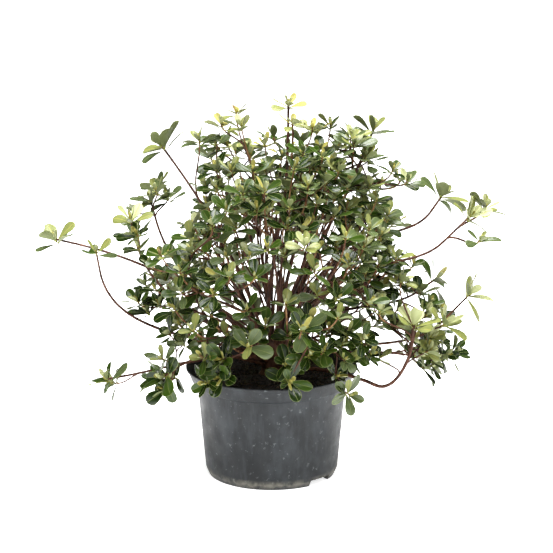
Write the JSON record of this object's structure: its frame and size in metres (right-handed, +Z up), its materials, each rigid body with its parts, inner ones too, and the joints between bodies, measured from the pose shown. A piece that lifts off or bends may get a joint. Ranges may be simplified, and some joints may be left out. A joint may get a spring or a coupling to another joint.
{
  "type": "potted evergreen azalea shrub",
  "caption": "Open, many-stemmed evergreen azalea shrub with whorls of small oval leaves on thin bare shoots, rooted in a low round dark nursery pot filled with compost.",
  "frame": {"origin": "centre of the flat underside of the pot, which stands on the ground", "axes": "+Z up along the pot's axis, +X to the right and +Y away from the side that the plant is looked at from"},
  "size_m": [0.5737, 0.4294, 0.4846],
  "materials": {
    "pot": "recycled black polypropylene gone dark grey, matte, scuffed and dusty",
    "soil": "moist dark brown peat compost, crumbly",
    "bark": "thin smooth red-brown bark, greyer and flaking on the old wood",
    "leaves": "small leathery leaves, dark green with a pale margin and a soft sheen, yellow-green at the heart of each whorl"
  },
  "bodies": {
    "root": {"bough_back_high": "bark", "bough_back_low": "bark", "bough_crest_1": "bark", "bough_crest_2": "bark", "bough_curved_right_lower": "bark", "bough_curved_right_upper": "bark", "bough_far_left": "bark", "bough_far_right": "bark", "bough_foot_right": "bark", "bough_high_right": "bark", "bough_leader": "bark", "bough_left_arc": "bark", "bough_left_back": "bark", "bough_left_front": "bark", "bough_low_left": "bark", "bough_low_right": "bark", "bough_mid_right": "bark", "bough_rim_left": "bark", "bough_shoulder_1": "bark", "bough_shoulder_2": "bark", "bough_shoulder_3": "bark", "bough_shoulder_4": "bark", "bough_skirt_1": "bark", "bough_skirt_2": "bark", "bough_skirt_3": "bark", "bough_skirt_4": "bark", "bough_skirt_5": "bark", "bough_top_right": "bark", "bough_upper_left": "bark", "foliage_back_high": "leaves", "foliage_back_low": "leaves", "foliage_crest_1": "leaves", "foliage_crest_2": "leaves", "foliage_curved_right": "leaves", "foliage_far_left": "leaves", "foliage_far_right": "leaves", "foliage_foot_right": "leaves", "foliage_high_right": "leaves", "foliage_leader": "leaves", "foliage_left_arc": "leaves", "foliage_left_back": "leaves", "foliage_left_front": "leaves", "foliage_low_left": "leaves", "foliage_low_right": "leaves", "foliage_mid_right": "leaves", "foliage_rim_left": "leaves", "foliage_shoulder_1": "leaves", "foliage_shoulder_2": "leaves", "foliage_shoulder_3": "leaves", "foliage_shoulder_4": "leaves", "foliage_skirt_1": "leaves", "foliage_skirt_2": "leaves", "foliage_skirt_3": "leaves", "foliage_skirt_4": "leaves", "foliage_skirt_5": "leaves", "foliage_top_right": "leaves", "foliage_upper_left": "leaves", "pot": "pot", "soil": "soil", "trunk": "bark"}
  },
  "joints": []
}
